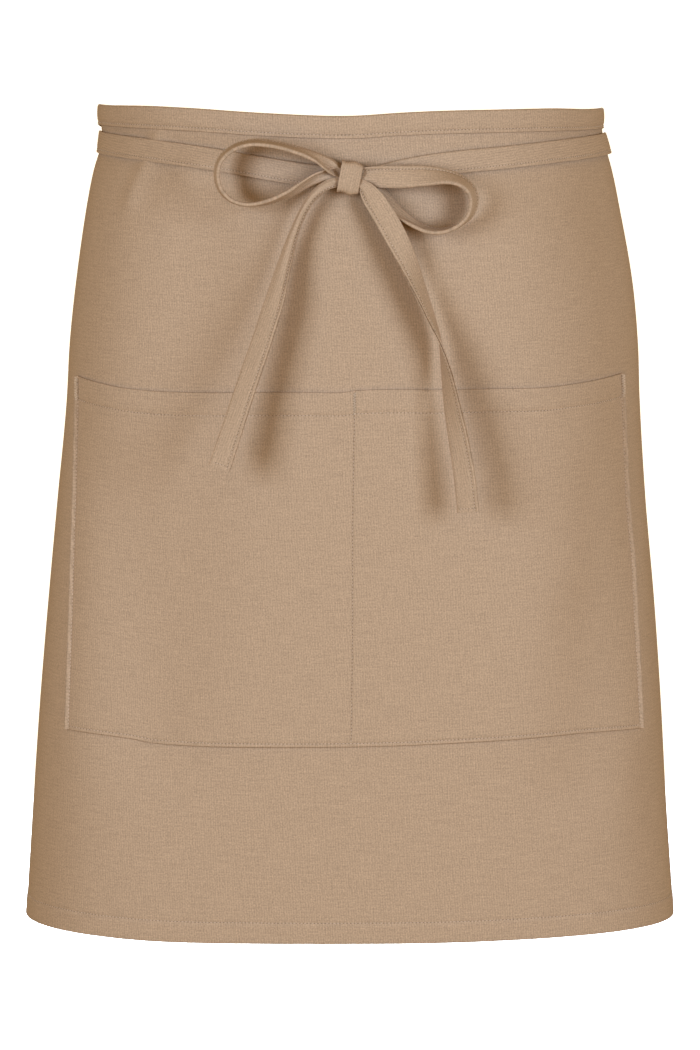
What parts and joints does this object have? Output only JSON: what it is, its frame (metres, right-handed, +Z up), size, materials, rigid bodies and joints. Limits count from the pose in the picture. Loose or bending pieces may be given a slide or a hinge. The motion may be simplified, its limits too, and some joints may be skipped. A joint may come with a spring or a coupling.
{
  "type": "bistro apron",
  "caption": "Bistro apron of plain twill in its worn form: panel round the hips, divided patch pocket, folded waistband and long ties wrapped round and tied in a bow at the front.",
  "frame": {"origin": "on the axis of the waist opening, where it is widest, halfway up the waistband", "axes": "+Z up along the wearer, -Y to the front where the bow and pocket are, +X to the right of someone who looks at the front"},
  "size_m": [0.403, 0.2546, 0.5172],
  "materials": {
    "twill": "matt beige polyester-cotton twill",
    "tape": "matt beige twill folded and edge-stitched into tape"
  },
  "bodies": {
    "root": {"apron_panel": "twill", "waistband": "twill", "pocket": "twill", "tie_left": "tape", "tie_right": "tape", "bow_knot": "tape", "bow_loop_left": "tape", "bow_loop_right": "tape", "tie_end_left": "tape", "tie_end_right": "tape"}
  },
  "joints": []
}
